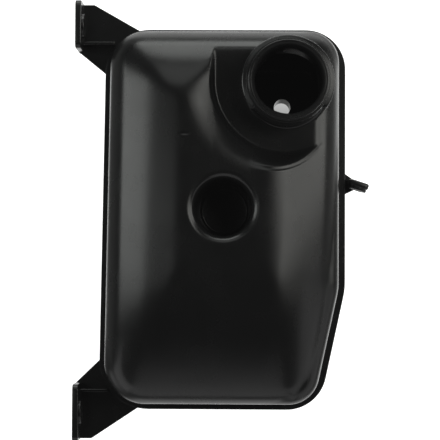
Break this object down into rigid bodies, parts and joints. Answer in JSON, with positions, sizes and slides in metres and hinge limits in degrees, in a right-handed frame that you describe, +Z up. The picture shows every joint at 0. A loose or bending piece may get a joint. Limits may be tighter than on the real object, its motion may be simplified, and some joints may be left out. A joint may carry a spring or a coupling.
{
  "type": "coolant expansion tank",
  "caption": "Rectangular engine coolant expansion tank of welded moulded shells, with a threaded filler neck in a sunken seat, a central tie well, hose stubs, bolt feet and an ear.",
  "frame": {"origin": "midway between the two foot bolt holes, on the mounting face of the feet", "axes": "+Z up along the filler neck, +X from the mounting face across the tank to the ear, +Y towards the filler end"},
  "size_m": [0.1976, 0.2952, 0.186],
  "materials": {
    "upper_plastic": "satin to glossy moulded black",
    "lower_plastic": "satin to glossy moulded black"
  },
  "bodies": {
    "root": {"upper_shell": "upper_plastic", "lower_shell": "lower_plastic"}
  },
  "joints": []
}
